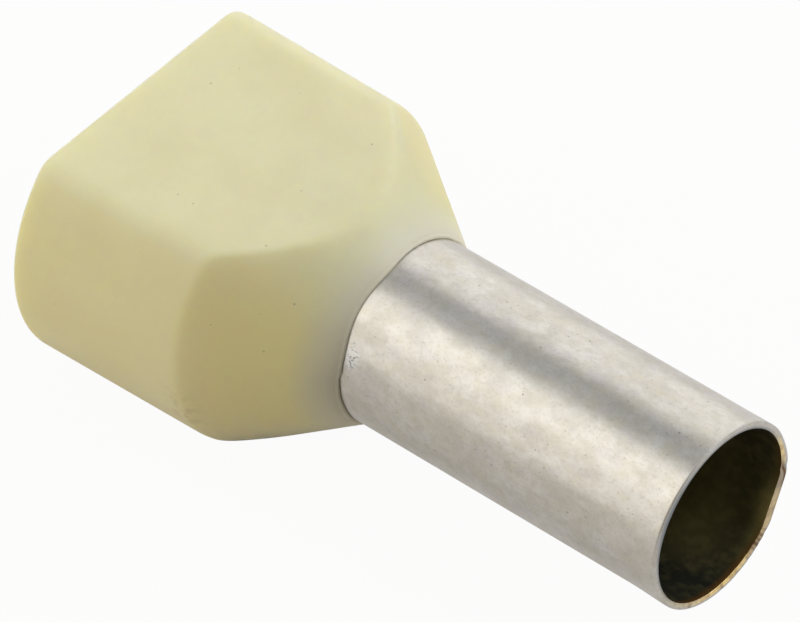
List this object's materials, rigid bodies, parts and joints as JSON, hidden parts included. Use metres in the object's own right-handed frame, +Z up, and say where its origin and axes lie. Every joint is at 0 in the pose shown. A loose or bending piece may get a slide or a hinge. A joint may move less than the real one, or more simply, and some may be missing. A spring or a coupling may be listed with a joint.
{
  "type": "wire ferrule",
  "caption": "Twin-entry insulated wire ferrule: ivory oval plastic collar tapering down onto a tinned copper barrel.",
  "frame": {"origin": "on the barrel's axis, in the plane of the collar's front lip", "axes": "+X along the barrel towards its open mouth, +Y across the collar's width, +Z up from the flat face that it lies on"},
  "size_m": [0.026, 0.0138, 0.0092],
  "materials": {
    "ivory_plastic": "moulded polypropylene with a satin skin, ivory",
    "tinned_copper": "electro-tinned copper, satin with faint stains, copper showing on the cut rim"
  },
  "bodies": {
    "root": {"collar": "ivory_plastic", "barrel": "tinned_copper"}
  },
  "joints": []
}
